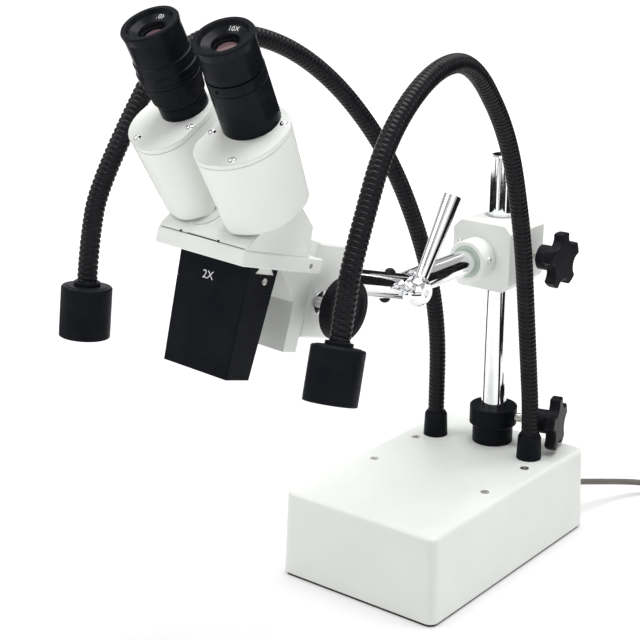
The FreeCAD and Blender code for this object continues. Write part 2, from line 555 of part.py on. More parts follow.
def make_objective():
    """Sliding objective box with its two lenses and its locking screw."""
    body = box_loft(0, BOX_Z[0], BOX_Z[1]).cut(box_loft(2, BOX_Z[0] + 4, -3))
    slot = placed(prism(rail_profile(0.08), (80, 0, 0)), Placement(Vector(-40, 0, 0), Rotation()))
    body = body.cut(slot)
    seam = box_loft(-1, -9.3, -9.0).cut(box_loft(0.3, -9.3, -9.0))
    body = body.cut(seam)
    lenses = []
    for side in (-1, 1):
        body = body.cut(rod(7, (side * LENS_X, RAIL_Y, -4), (side * LENS_X, RAIL_Y, 8)))
        spot = side * (LENS_X - 0.5)
        body = body.cut(rod(9.5, (spot, RAIL_Y - 1, BOX_Z[0] - 1), (spot, RAIL_Y - 1, BOX_Z[0] + 5)))
        glass = rod(9.5, (spot, RAIL_Y - 1, BOX_Z[0] + 0.8), (spot, RAIL_Y - 1, BOX_Z[0] + 3.6))
        lenses.append(glass)
    screw = join([rod(1.2, (BOX_HALF_WIDTH - 6, RAIL_Y, -0.7), (BOX_HALF_WIDTH, RAIL_Y, -0.7)),
                  rod(2.1, (BOX_HALF_WIDTH - 0.2, RAIL_Y, -0.7), (BOX_HALF_WIDTH + 1.1, RAIL_Y, -0.7))])
    body = body.cut(screw)
    slit = box((BOX_HALF_WIDTH + 0.5, BOX_HALF_WIDTH + 2), (RAIL_Y - 3, RAIL_Y + 3), (-0.95, -0.45))
    save(placed(body, HEAD), "objective_box")
    save(placed(group(lenses), HEAD), "objective_lenses")
    save(placed(screw.cut(slit), HEAD), "objective_screw")


def pod_outline(inset, w):
    """Right pod's outline at height w: round back, bowed outer front, flat inner side."""
    points = {
        "inner_back": (-20.0, -6.5), "back": (3.65, 17.15), "outer_back": (27.3, -6.5),
        "outer_front": (20.8, -29.3), "front": (3, -39.7), "corner": (-14.2, -36.2), "inner_front": (-20.0, -24),
    }
    at = {name: Vector(u, v, w) for name, (u, v) in points.items()}
    wire = Part.Wire([
        Part.Arc(at["inner_back"], at["back"], at["outer_back"]).toShape(),
        Part.Arc(at["outer_back"], at["outer_front"], at["front"]).toShape(),
        Part.Arc(at["front"], at["corner"], at["inner_front"]).toShape(),
        Part.LineSegment(at["inner_front"], at["inner_back"]).toShape(),
    ])
    return wire.makeOffset2D(-inset) if inset else wire


def pod_body(inset, w_low, w_high):
    """Solid of the pod's drafted outline, inset by a wall, between two heights."""
    lid_w = POD_HEIGHT - LID_THICKNESS
    wires = [pod_outline(inset + POD_DRAFT * (lid_w - w) / lid_w, w) for w in (w_low, w_high)]
    return Part.makeLoft(wires, True, True)


def make_pods():
    """Prism pods with lids and lid screws, which turn on spigots for the eye distance."""
    lid_w = POD_HEIGHT - LID_THICKNESS
    frame = pod_frame(1)
    lid = Part.Face(pod_outline(0, lid_w + 0.3)).extrude(Vector(0, 0, LID_THICKNESS - 0.3))
    step = Part.Face(pod_outline(0.6, lid_w - 1)).extrude(Vector(0, 0, 2))
    pod = join([pod_body(0, -4, lid_w), step, lid]).cut(pod_body(POD_WALL, 6, lid_w - 1))
    keep = box((0.8, 90), (-180, -30), (INCLINE_A + POD_GAP, 300))
    pod = pod.common(placed(placed(keep, INCLINE), frame.inverse()))
    pod = join([pod, rod(SPIGOT_R, (POD_HINGE_U, POD_HINGE_V, -5), (POD_HINGE_U, POD_HINGE_V, 4))])
    pod = pod.cut(rod(SPIGOT_R - 2.5, (POD_HINGE_U, POD_HINGE_V, -6), (POD_HINGE_U, POD_HINGE_V, 8)))
    pod = pod.cut(rod(12.5, (0, 0, lid_w - 3), (0, 0, POD_HEIGHT + 1)))
    screws = []
    for u, v in ((-17.0, -15.6), (19.9, 4.4), (10.8, -32.2)):
        shank = rod(1.2, (u, v, POD_HEIGHT - 5), (u, v, POD_HEIGHT))
        dome = Part.makeSphere(3.0, Vector(u, v, POD_HEIGHT - 1.6))
        head = dome.common(box((u - 4, u + 4), (v - 4, v + 4), (POD_HEIGHT, POD_HEIGHT + 3)))
        pod = pod.cut(shank)
        slots = (POD_HEIGHT + 0.7, POD_HEIGHT + 3)
        cross = box((u - 1.5, u + 1.5), (v - 0.25, v + 0.25), slots).fuse(box((u - 0.25, u + 0.25), (v - 1.5, v + 1.5), slots))
        screws.append(join([shank, head]).cut(cross))
    for side, name in ((1, "right"), (-1, "left")):
        place = HEAD.multiply(pod_frame(side))
        both = [shape if side == 1 else mirrored(shape) for shape in (pod, group(screws))]
        save(placed(both[0], place), f"pod_{name}")
        save(placed(both[1], place), f"pod_screws_{name}")


EYE_BORE_R = 14.0
LEFT_BORE_R = 11.0


def make_eyepieces():
    """Right eye tube and eyepiece; left eye tube, dioptre ring and eyepiece."""
    right = HEAD.multiply(pod_frame(1))
    tube = lathe([(EYE_BORE_R + RUNNING_FIT, POD_HEIGHT), (17.2, POD_HEIGHT), (17.2, 84.3), (16.6, 84.6), (17.2, 84.9),
                  (17.2, 90.9), (EYE_BORE_R + RUNNING_FIT, 90.9)])
    tube = tube.cut(rod(1.3, (0, -15, 88), (0, -20, 88)))
    save(placed(tube, right), "eyetube_right")
    piece = lathe([(12, 62), (EYE_BORE_R, 62), (EYE_BORE_R, 91.2), (16.4, 91.2), (16.85, 92.0), (16.9, 107.5), (17.6, 110.5),
                   (18.0, 112.2), (17.2, RIM_W), (14.8, RIM_W), (13.2, 111.0), (8.2, 109.0), (7.5, 107.5), (7.5, 100),
                   (12, 98)])
    save(placed(piece, right), "eyepiece_right")
    lens = lathe([(0, 101), (7.5, 101), (7.5, 104.5), (5, 105.6), (0, 106.2)])
    save(placed(lens, right), "eyepiece_lens_right")

    left = HEAD.multiply(pod_frame(-1))
    tube = lathe([(LEFT_BORE_R + RUNNING_FIT, POD_HEIGHT), (14.6, POD_HEIGHT), (14.6, 62.6), (14.0, 62.9), (14.6, 63.2),
                  (14.6, 65.3), (12.8, 65.3), (12.8, 80.9), (LEFT_BORE_R + RUNNING_FIT, 80.9)])
    save(placed(tube, left), "eyetube_left")
    ring = lathe([(12.85, 65.6), (15.6, 65.6), (16.0, 66.0), (17.6, 78.6), (17.0, 79.0), (17.6, 79.4), (17.7, 81.2),
                  (12.85, 81.2)])
    save(placed(ring, left), "dioptre_ring")
    piece = lathe([(9.6, 62), (LEFT_BORE_R, 62), (LEFT_BORE_R, 81.5), (17.9, 81.5), (18.4, 82.0), (18.4, 86.4), (17.7, 86.9),
                   (17.7, 93.2), (17.1, 93.6), (16.8, 94.2), (16.8, 108), (17.3, 110.8), (17.5, 112.4), (16.8, RIM_W),
                   (14.4, RIM_W), (12.8, 111.0), (8.2, 109.0), (7.5, 107.5), (7.5, 100), (9.6, 98)])
    save(placed(piece, left), "eyepiece_left")
    save(placed(lens, left), "eyepiece_lens_left")


def bent_wire(points, name):
    """Straight runs joined by tangent arcs, each as large as its two runs allow."""
    points = [Vector(*p) for p in points]
    edges = []
    start = points[0]
    radii = []
    for before, corner, after in zip(points, points[1:], points[2:]):
        back, ahead = (before - corner), (after - corner)
        shorter = min(back.Length, ahead.Length)
        back.normalize()
        ahead.normalize()
        half_turn = (pi - acos(max(-1, min(1, back.dot(ahead))))) / 2
        reach = 0.45 * shorter
        r = reach / tan(half_turn)
        radii.append(round(r))
        entry, leave = corner + back * reach, corner + ahead * reach
        middle = back + ahead
        middle.normalize()
        top = corner + middle * (r / cos(half_turn) - r)
        edges.append(Part.LineSegment(start, entry).toShape())
        edges.append(Part.Arc(entry, top, leave).toShape())
        start = leave
    edges.append(Part.LineSegment(start, points[-1]).toShape())
    print(name, "bend radii", radii)
    return Part.Wire(edges)


def tube_along(points, r, name):
    """Solid round tube along the bent wire."""
    path = bent_wire(points, name)
    start = Vector(*points[0])
    section = Part.Wire([Part.Circle(start, Vector(*points[1]) - start, r).toShape()])
    solid = path.makePipeShell([section], True, False)
    print(name, "volume over section times length", round(solid.Volume / (pi * r * r * path.Length), 4))
    return solid


def make_goosenecks():
    """Neck sockets, bending neck segments with ball ends, lamp shells and lamp lenses."""
    sockets = []
    for side, segments in (("right", RIGHT_NECK), ("left", LEFT_NECK)):
        x, y, z = segments[0][0]
        cone = lathe([(0, 0), (9.7, 0), (9.0, 17.5), (7.6, 20), (0, 20)])
        cone = placed(cone, Placement(Vector(x, y, BASE_HEIGHT), Rotation()))
        sockets.append(cone.cut(rod(NECK_R, (x, y, z), (x, y, BASE_HEIGHT + 21))))
        for i, points in enumerate(segments):
            name = f"neck_{side}_{i + 1}"
            if len(points) > 2:
                neck = tube_along(points, NECK_R, name)
            else:
                neck = rod(NECK_R, points[0], points[1])
            if i:
                neck = neck.cut(Part.makeSphere(NECK_R + AIR_GAP, Vector(*points[0])))
            if i < len(segments) - 1:
                neck = join([neck, Part.makeSphere(NECK_R, Vector(*points[-1]))])
            save(neck, name)
        top = Vector(*segments[-1][-1])
        down = top - Vector(*segments[-1][-2])
        place = Placement(top, Rotation(Z_AXIS, down))
        shell = lathe([(0, 0), (LAMP_R - 1.2, 0), (LAMP_R, 1.2), (LAMP_R, LAMP_LENGTH - 0.6), (LAMP_R - 0.6, LAMP_LENGTH),
                       (LAMP_R - 1.8, LAMP_LENGTH), (LAMP_R - 1.8, LAMP_LENGTH - 10), (0, LAMP_LENGTH - 10)])
        save(placed(shell, place), f"lamp_shell_{side}")
        glass = lathe([(0, LAMP_LENGTH - 7), (LAMP_R - 1.8, LAMP_LENGTH - 7), (LAMP_R - 1.8, LAMP_LENGTH - 3.5),
                       (8, LAMP_LENGTH - 2.2), (0, LAMP_LENGTH - 1.8)])
        save(placed(glass, place), f"lamp_lens_{side}")
    save(group(sockets), "neck_sockets")


def make_cord():
    """Strain relief, mains lead, its put-away coil and the plug beyond it."""
    start = Vector(*CORD_ROUTE[0])
    flange = rod(7, GLAND_POINT, GLAND_POINT + Vector(0, 2.5, 0))
    throat = rod(5, GLAND_POINT - Vector(0, 8, 0), GLAND_POINT)
    sleeve = taper(4.6, 3.1, GLAND_POINT, start)
    save(join([flange, throat, sleeve]), "cord_gland")
    save(tube_along(CORD_ROUTE, CORD_R, "power_cord"), "power_cord")
    half_wide, high = COIL_BUNDLE[0] / 2, COIL_BUNDLE[1]
    c = 3.0
    ring = lathe([(COIL_MEAN_R - half_wide + c, 0.1), (COIL_MEAN_R + half_wide - c, 0.1), (COIL_MEAN_R + half_wide, c),
                  (COIL_MEAN_R + half_wide, high - c), (COIL_MEAN_R + half_wide - c, high),
                  (COIL_MEAN_R - half_wide + c, high), (COIL_MEAN_R - half_wide, high - c), (COIL_MEAN_R - half_wide, c)])
    save(placed(ring, Placement(COIL_CENTRE, Rotation())), "cord_coil")
    plug_start = COIL_CENTRE.x - 20
    neck = taper(3.2, 5.5, (plug_start, PLUG_Y, 7), (plug_start - 16, PLUG_Y, 7))
    body = box((plug_start - 44, plug_start - 14), (PLUG_Y - 12, PLUG_Y + 12), (0.2, 14))
    body = body.makeChamfer(2.5, body.Edges)
    pins = [rod(2.2, (plug_start - 42, PLUG_Y + off, 7), (plug_start - 62, PLUG_Y + off, 7)) for off in (-6.35, 6.35)]
    save(join([neck, body] + pins), "plug")


os.makedirs("parts", exist_ok=True)
make_base()
make_pillar()
make_knobs()
make_clamp()
make_arm()
make_focus()
make_carriage()
make_objective()
make_pods()
make_eyepieces()
make_goosenecks()
make_cord()
print("sub-parts:", len([n for n in os.listdir("parts") if n.endswith(".step")]))
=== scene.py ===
import json
from math import atan2, cos, floor, pi, radians, sin

import bpy
from mathutils import Matrix, Vector


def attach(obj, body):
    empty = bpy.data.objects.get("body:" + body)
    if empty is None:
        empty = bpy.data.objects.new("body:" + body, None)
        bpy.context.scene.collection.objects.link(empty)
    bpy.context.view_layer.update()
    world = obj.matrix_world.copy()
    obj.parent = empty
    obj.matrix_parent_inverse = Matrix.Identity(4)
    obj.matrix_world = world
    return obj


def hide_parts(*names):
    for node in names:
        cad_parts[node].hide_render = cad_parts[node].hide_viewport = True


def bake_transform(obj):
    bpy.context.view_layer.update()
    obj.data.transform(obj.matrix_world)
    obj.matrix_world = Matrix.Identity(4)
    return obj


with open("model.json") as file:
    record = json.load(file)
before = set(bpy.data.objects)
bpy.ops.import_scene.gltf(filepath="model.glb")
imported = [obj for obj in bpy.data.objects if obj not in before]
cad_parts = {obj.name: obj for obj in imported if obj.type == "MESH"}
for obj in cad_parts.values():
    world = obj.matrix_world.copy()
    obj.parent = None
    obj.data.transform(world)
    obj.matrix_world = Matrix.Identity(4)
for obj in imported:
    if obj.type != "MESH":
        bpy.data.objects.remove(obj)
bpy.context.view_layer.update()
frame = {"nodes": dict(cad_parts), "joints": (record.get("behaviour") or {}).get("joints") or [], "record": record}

MM = 0.001
JOINTS = {j["name"]: j for j in frame["joints"]}


def mm(*values):
    """Point in metres from millimetres."""
    return Vector(values) * MM


def axes(origin, x, y, z):
    """Matrix of a frame from its origin and its three directions."""
    turn = Matrix((x, y, z)).transposed()
    return Matrix.Translation(origin) @ turn.to_4x4()


def along(origin, direction):
    """Matrix of a frame at origin whose Z points along direction."""
    z = Vector(direction).normalized()
    side = Vector((0, 0, 1)) if abs(z.z) < 0.9 else Vector((1, 0, 0))
    x = side.cross(z).normalized()
    return axes(Vector(origin), x, z.cross(x), z)


# Frames of the head and of the two pods, from the joints
HEAD_X = Vector(JOINTS["objective_slide"]["axis"])
HEAD_Z = Vector(JOINTS["focus_height"]["axis"])
HEAD = axes(Vector(JOINTS["head_tilt"]["pos_m"]), HEAD_X, HEAD_Z.cross(HEAD_X), HEAD_Z)
POD_HINGE = (11.0, 25.0)


def pod_frame(side):
    """Frame of a pod: X to the right, Y to the back and Z up its eye tube."""
    joint = JOINTS["right_pod_turn" if side > 0 else "left_pod_turn"]
    w = Vector(joint["axis"])
    v = (Matrix.Rotation(radians(45), 3, HEAD_X) @ HEAD_Z.cross(HEAD_X)).normalized()
    u = v.cross(w).normalized()
    origin = Vector(joint["pos_m"]) + (u * side * POD_HINGE[0] + v * POD_HINGE[1]) * MM
    return axes(origin, u, v, w)


# ---------------------------------------------------------------- camera

CAMERA_PLACE = (0.5682, -0.9442, 0.5149)
CAMERA_AZIMUTH = 38.267
CAMERA_DOWN = 17.636
CAMERA_ROLL = 0.214
CAMERA_LENS = 82.4


def make_camera():
    """Camera looking down on the stand from its right front."""
    az, down, roll = radians(CAMERA_AZIMUTH), radians(CAMERA_DOWN), radians(CAMERA_ROLL)
    back = Vector((sin(az) * cos(down), -cos(az) * cos(down), sin(down)))
    right = Vector((cos(az), sin(az), 0))
    up = back.cross(right)
    x = right * cos(roll) + up * sin(roll)
    y = up * cos(roll) - right * sin(roll)
    data = bpy.data.cameras.new("camera")
    data.lens = CAMERA_LENS
    data.sensor_width = 36
    data.clip_start = 0.01
    camera = bpy.data.objects.new("camera", data)
    camera.matrix_world = axes(Vector(CAMERA_PLACE), x, y, back)
    bpy.context.scene.collection.objects.link(camera)
    bpy.context.scene.camera = camera


make_camera()

# ---------------------------------------------------------------- materials


class Surface:
    """A Principled material and short ways to add procedural nodes to it."""

    def __init__(self, name, color, roughness, **sockets):
        self.material = bpy.data.materials.new(name)
        self.material.use_nodes = True
        self.tree = self.material.node_tree
        self.shader = self.tree.nodes["Principled BSDF"]
        self.shader.inputs["Base Color"].default_value = (*color, 1)
        self.shader.inputs["Roughness"].default_value = roughness
        for key, value in sockets.items():
            self.shader.inputs[key.replace("_", " ")].default_value = value
        self.place = self.node("ShaderNodeTexCoord").outputs["Object"]

    def node(self, kind, inputs=None, **settings):
        """A new node with its settings, and its inputs set or linked by name or number."""
        made = self.tree.nodes.new(kind)
        for key, value in settings.items():
            setattr(made, key, value)
        for key, value in (inputs or {}).items():
            if isinstance(value, bpy.types.NodeSocket):
                self.tree.links.new(value, made.inputs[key])
            else:
                made.inputs[key].default_value = value
        return made

    def stretched(self, scale, turn=(0, 0, 0)):
        """The object's coordinates, turned and then stretched."""
        turned = self.node("ShaderNodeMapping", {"Vector": self.place, "Rotation": turn})
        return self.node("ShaderNodeMapping", {"Vector": turned.outputs[0], "Scale": scale}).outputs[0]

    def noise(self, size_mm, detail=3, roughness=0.5, vector=None):
        """Noise whose grains are about size_mm across."""
        scale = 1 / (size_mm * MM)
        inputs = {"Vector": vector or self.place, "Scale": scale, "Detail": detail, "Roughness": roughness}
        return self.node("ShaderNodeTexNoise", inputs).outputs[0]

    def spread(self, value, low, high, out_low=0.0, out_high=1.0):
        """The value's range low..high mapped to out_low..out_high."""
        inputs = {0: value, 1: low, 2: high, 3: out_low, 4: out_high}
        return self.node("ShaderNodeMapRange", inputs).outputs[0]

    def edges(self, radius_mm, low=0.0015, high=0.05):
        """Mask that is 1 on edges, from how far a rounded normal leans away."""
        rounded = self.node("ShaderNodeBevel", {"Radius": radius_mm * MM}, samples=4).outputs[0]
        normal = self.node("ShaderNodeNewGeometry").outputs["Normal"]
        lean = self.node("ShaderNodeVectorMath", {0: rounded, 1: normal}, operation="DOT_PRODUCT")
        away = self.node("ShaderNodeMath", {0: 1.0, 1: lean.outputs["Value"]}, operation="SUBTRACT").outputs[0]
        return self.spread(away, low, high)

    def multiply(self, a, b):
        """Product of two values."""
        return self.node("ShaderNodeMath", {0: a, 1: b}, operation="MULTIPLY").outputs[0]

    def mix(self, factor, a, b):
        """Colour between a and b, each a socket or three numbers."""
        first, second = (c if isinstance(c, bpy.types.NodeSocket) else (*c, 1) for c in (a, b))
        return self.node("ShaderNodeMix", {0: factor, 6: first, 7: second}, data_type="RGBA").outputs[2]

    def color(self, value):
        """Drive the base colour."""
        self.tree.links.new(value, self.shader.inputs["Base Color"])

    def roughness(self, value):
        """Drive the roughness."""
        self.tree.links.new(value, self.shader.inputs["Roughness"])

    def bump(self, height, depth_mm, strength=1.0, rounded_mm=0.0):
        """Bump of the given depth, over normals rounded along the edges."""
        inputs = {"Height": height, "Distance": depth_mm * MM, "Strength": strength}
        if rounded_mm:
            inputs["Normal"] = self.node("ShaderNodeBevel", {"Radius": rounded_mm * MM}, samples=6).outputs[0]
        self.tree.links.new(self.node("ShaderNodeBump", inputs).outputs[0], self.shader.inputs["Normal"])


def white_paint():
    """Satin warm white powder coat: fine orange peel, faint soiling, edges rubbed."""
    s = Surface("white_paint", (0.80, 0.81, 0.785), 0.36, Coat_Weight=0.12, Coat_Roughness=0.3)
    clouds = s.noise(38, 4, 0.6)
    tint = s.mix(s.spread(clouds, 0.35, 0.7), (0.795, 0.815, 0.785), (0.765, 0.785, 0.75))
    specks = s.spread(s.noise(1.3, 2, 0.7), 0.70, 0.76, 0, 0.35)
    tint = s.mix(specks, tint, (0.70, 0.70, 0.66))
    s.color(s.mix(s.multiply(s.edges(0.7), 0.35), tint, (0.86, 0.87, 0.85)))
    s.roughness(s.spread(s.noise(6, 4, 0.6), 0.3, 0.7, 0.30, 0.46))
    s.bump(s.noise(0.9, 3, 0.55), 0.035, 0.55, 0.8)
    return s.material


def black_paint():
    """Blue-black satin enamel with fine grain and slightly polished edges."""
    s = Surface("black_enamel", (0.006, 0.007, 0.010), 0.38, Specular_IOR_Level=0.05)
    tint = s.mix(s.spread(s.noise(22, 4, 0.6), 0.35, 0.7), (0.0055, 0.0062, 0.0095), (0.009, 0.010, 0.013))
    s.color(s.mix(s.multiply(s.edges(0.4), 0.5), tint, (0.032, 0.033, 0.040)))
    s.roughness(s.spread(s.noise(3.5, 4, 0.6), 0.3, 0.7, 0.33, 0.47))
    s.bump(s.noise(0.45, 3, 0.6), 0.02, 0.5, 0.5)
    return s.material


def black_anodised():
    """Turned and anodised black aluminium: soft sheen, edges worn a little bright."""
    s = Surface("black_anodised", (0.006, 0.007, 0.009), 0.30, Specular_IOR_Level=0.06,
                Coat_Weight=0.03, Coat_Roughness=0.08)
    tint = s.mix(s.spread(s.noise(14, 4, 0.6), 0.35, 0.7), (0.005, 0.0058, 0.008), (0.009, 0.010, 0.0125))
    s.color(s.mix(s.multiply(s.edges(0.2), 0.3), tint, (0.045, 0.046, 0.052)))
    s.roughness(s.spread(s.noise(2.5, 4, 0.65), 0.3, 0.7, 0.24, 0.38))
    s.bump(s.noise(0.35, 3, 0.6), 0.008, 0.5, 0.25)
    return s.material


def black_plastic():
    """Moulded black plastic with a fine matt grain and faint mould flow."""
    s = Surface("black_plastic", (0.007, 0.0076, 0.010), 0.42, Specular_IOR_Level=0.09)
    tint = s.mix(s.spread(s.noise(9, 4, 0.6), 0.35, 0.7), (0.006, 0.0066, 0.009), (0.011, 0.0115, 0.014))
    s.color(s.mix(s.multiply(s.edges(0.5), 0.5), tint, (0.030, 0.030, 0.035)))
    s.roughness(s.spread(s.noise(1.6, 4, 0.6), 0.3, 0.7, 0.34, 0.52))
    s.bump(s.noise(0.5, 3, 0.6), 0.02, 0.5, 0.6)
    return s.material


def neck_black():
    """Black sheathed gooseneck with a low, uneven gloss."""
    s = Surface("neck_black", (0.006, 0.0064, 0.008), 0.26, Specular_IOR_Level=0.12,
                Coat_Weight=0.06, Coat_Roughness=0.10)
    s.color(s.mix(s.spread(s.noise(12, 4, 0.6), 0.4, 0.75), (0.005, 0.0055, 0.007), (0.012, 0.012, 0.014)))
    s.roughness(s.spread(s.noise(2.2, 4, 0.6), 0.3, 0.7, 0.22, 0.38))
    s.bump(s.noise(0.4, 3, 0.6), 0.01, 0.5)
    return s.material


def chrome():
    """Bright chrome plate with faint smears and hairline wiping marks."""
    s = Surface("chrome", (0.88, 0.885, 0.90), 0.05, Metallic=1.0)
    smears = s.spread(s.noise(18, 5, 0.65), 0.42, 0.75, 0.0, 1.0)
    s.color(s.mix(smears, (0.90, 0.905, 0.915), (0.82, 0.82, 0.835)))
    s.roughness(s.spread(s.noise(5, 5, 0.7), 0.35, 0.75, 0.035, 0.13))
    hair = s.noise(0.6, 2, 0.5, s.stretched((1, 0.04, 1), (0.35, 0.2, 0)))
    s.bump(hair, 0.0015, 0.5, 0.3)
    return s.material


def brushed_steel():
    """Ground steel with a straight grain."""
    s = Surface("brushed_steel", (0.58, 0.58, 0.57), 0.30, Metallic=1.0, Anisotropic=0.4)
    grain = s.noise(0.5, 4, 0.6, s.stretched((0.03, 1, 1), (radians(-16), 0, 0)))
    s.color(s.mix(s.spread(grain, 0.3, 0.7), (0.50, 0.50, 0.49), (0.66, 0.66, 0.65)))
    s.roughness(s.spread(s.noise(4, 4, 0.6), 0.3, 0.7, 0.26, 0.42))
    s.bump(grain, 0.006, 0.6, 0.2)
    return s.material


def zinc_steel():
    """Zinc plated fastener steel, slightly yellowed and dull in places."""
    s = Surface("zinc_steel", (0.62, 0.61, 0.58), 0.27, Metallic=1.0)
    s.color(s.mix(s.spread(s.noise(2.5, 4, 0.6), 0.35, 0.7), (0.68, 0.67, 0.64), (0.52, 0.51, 0.47)))
    s.roughness(s.spread(s.noise(1.2, 4, 0.6), 0.3, 0.7, 0.20, 0.40))
    s.bump(s.noise(0.3, 3, 0.6), 0.006, 0.5, 0.2)
    return s.material


def rubber():
    """Dusty matt black rubber."""
    s = Surface("rubber", (0.02, 0.02, 0.02), 0.75, Specular_IOR_Level=0.35)
    s.color(s.mix(s.spread(s.noise(7, 5, 0.7), 0.4, 0.75), (0.016, 0.016, 0.017), (0.055, 0.053, 0.05)))
    s.roughness(s.spread(s.noise(1.5, 4, 0.6), 0.3, 0.7, 0.62, 0.85))
    s.bump(s.noise(0.6, 4, 0.6), 0.05, 0.6, 0.4)
    return s.material


def cast_iron():
    """Painted rough casting, inside the base."""
    s = Surface("cast_iron", (0.10, 0.10, 0.105), 0.65)
    s.color(s.mix(s.spread(s.noise(6, 5, 0.7), 0.4, 0.7), (0.08, 0.08, 0.085), (0.16, 0.13, 0.11)))
    s.roughness(s.spread(s.noise(2, 4, 0.6), 0.3, 0.7, 0.5, 0.8))
    s.bump(s.noise(1.4, 5, 0.7), 0.2, 0.6)
    return s.material


def cord_grey():
    """Grey PVC sheath with scuffs."""
    s = Surface("cord_grey", (0.15, 0.14, 0.125), 0.5, Specular_IOR_Level=0.3)
    s.color(s.mix(s.spread(s.noise(9, 4, 0.6), 0.35, 0.7), (0.135, 0.126, 0.112), (0.175, 0.165, 0.148)))
    s.roughness(s.spread(s.noise(2, 4, 0.6), 0.3, 0.7, 0.38, 0.58))
    s.bump(s.noise(0.8, 3, 0.6), 0.03, 0.5)
    return s.material


def bushing_plastic():
    """Off-white machined plastic sleeve."""
    s = Surface("bushing_plastic", (0.42, 0.42, 0.40), 0.5)
    s.color(s.mix(s.spread(s.noise(5, 4, 0.6), 0.35, 0.7), (0.38, 0.38, 0.36), (0.47, 0.47, 0.44)))
    s.roughness(s.spread(s.noise(1.5, 4, 0.6), 0.3, 0.7, 0.42, 0.6))
    s.bump(s.noise(0.5, 3, 0.6), 0.02, 0.5, 0.3)
    return s.material


def liner_green():
    """Pale grey-green plastic liner of the arm's boss."""
    s = Surface("liner_green", (0.45, 0.53, 0.47), 0.45)
    s.color(s.mix(s.spread(s.noise(4, 4, 0.6), 0.35, 0.7), (0.42, 0.50, 0.44), (0.52, 0.60, 0.53)))
    s.roughness(s.spread(s.noise(1.5, 4, 0.6), 0.3, 0.7, 0.38, 0.56))
    s.bump(s.noise(0.4, 3, 0.6), 0.02, 0.5, 0.3)
    return s.material


def coated_glass():
    """Coated lens: clear gloss over a dark barrel, with a pink-brown coating tint."""
    s = Surface("coated_glass", (0.17, 0.085, 0.075), 0.03, Specular_IOR_Level=0.9,
                Coat_Weight=1.0, Coat_Roughness=0.02, IOR=1.6)
    facing = s.node("ShaderNodeLayerWeight", {"Blend": 0.35}).outputs["Facing"]
    tint = s.mix(s.spread(facing, 0.1, 0.8), (0.20, 0.105, 0.09), (0.10, 0.07, 0.11))
    s.color(s.mix(s.spread(s.noise(5, 3, 0.6), 0.5, 0.8, 0, 0.3), tint, (0.26, 0.16, 0.14)))
    s.roughness(s.spread(s.noise(1.5, 5, 0.7), 0.45, 0.8, 0.02, 0.10))
    return s.material


def lamp_glass():
    """Clear, slightly rippled lamp glass."""
    s = Surface("lamp_glass", (0.92, 0.94, 0.93), 0.06, Transmission_Weight=0.85, IOR=1.45)
    s.color(s.mix(s.spread(s.noise(4, 3, 0.6), 0.4, 0.75), (0.94, 0.96, 0.95), (0.80, 0.83, 0.81)))
    s.roughness(s.spread(s.noise(1.5, 4, 0.6), 0.3, 0.7, 0.04, 0.14))
    s.bump(s.noise(1.8, 2, 0.5), 0.1, 0.6)
    return s.material


def reflector():
    """Faceted bright reflector behind the lamp glass."""
    s = Surface("reflector", (0.8, 0.8, 0.78), 0.18, Metallic=1.0)
    s.color(s.mix(s.spread(s.noise(3, 3, 0.6), 0.35, 0.7), (0.86, 0.86, 0.84), (0.68, 0.68, 0.65)))
    s.roughness(s.spread(s.noise(1.2, 3, 0.6), 0.3, 0.7, 0.12, 0.28))
    cells = s.node("ShaderNodeTexVoronoi", {"Vector": s.place, "Scale": 1 / (2.2 * MM)}).outputs["Distance"]
    s.bump(cells, 0.25, 0.7)
    return s.material


def print_white():
    """White pad-printed marking, slightly thin in places."""
    s = Surface("print_white", (0.75, 0.76, 0.76), 0.5)
    s.color(s.mix(s.spread(s.noise(0.8, 4, 0.7), 0.45, 0.75), (0.78, 0.79, 0.80), (0.50, 0.51, 0.52)))
    s.roughness(s.spread(s.noise(0.6, 3, 0.6), 0.3, 0.7, 0.42, 0.6))
    s.bump(s.noise(0.3, 2, 0.5), 0.01, 0.5)
    return s.material


def shadow_gap():
    """Near-black painted shade for the shadowed joints between painted pieces, mottled a little."""
    # Painted shade: this colour stands for the shadow inside a joint, not for a dark material.
    s = Surface("shadow_gap", (0.02, 0.02, 0.022), 0.8)
    s.color(s.mix(s.spread(s.noise(1.5, 4, 0.7), 0.4, 0.7), (0.015, 0.015, 0.017), (0.05, 0.048, 0.045)))
    s.roughness(s.spread(s.noise(0.8, 3, 0.6), 0.3, 0.7, 0.7, 0.9))
    s.bump(s.noise(0.3, 2, 0.5), 0.02, 0.5)
    return s.material


MATERIALS = {
    "white_paint": white_paint(),
    "black_enamel": black_paint(),
    "black_anodised": black_anodised(),
    "black_plastic": black_plastic(),
    "neck_black": neck_black(),
    "chrome": chrome(),
    "steel": brushed_steel(),
    "zinc_steel": zinc_steel(),
    "rubber": rubber(),
    "cast_iron": cast_iron(),
    "cord_grey": cord_grey(),
    "bushing_plastic": bushing_plastic(),
    "liner_green": liner_green(),
    "coated_glass": coated_glass(),
    "lamp_glass": lamp_glass(),
}
REFLECTOR = reflector()
PRINT_WHITE = print_white()
SHADOW_GAP = shadow_gap()


def paint_nodes():
    """Give every carried-over CAD node the material of its slot."""
    for row in frame["record"]["subparts"]:
        mesh = frame["nodes"][row["node"]].data
        mesh.materials.clear()
        mesh.materials.append(MATERIALS[row["material_slot"]])


paint_nodes()

# ---------------------------------------------------------------- mesh helpers


def piece(name, vertices, faces, finish, body=None, smooth=True):
    """A mesh piece from points in metres; it rides on body if one is named."""
    mesh = bpy.data.meshes.new(name)
    mesh.from_pydata([tuple(v) for v in vertices], [], faces)
    mesh.validate()
    for polygon in mesh.polygons:
        polygon.use_smooth = smooth
    mesh.materials.append(finish)
    made = bpy.data.objects.new(name, mesh)
    bpy.context.scene.collection.objects.link(made)
    if body:
        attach(made, body)
    return made


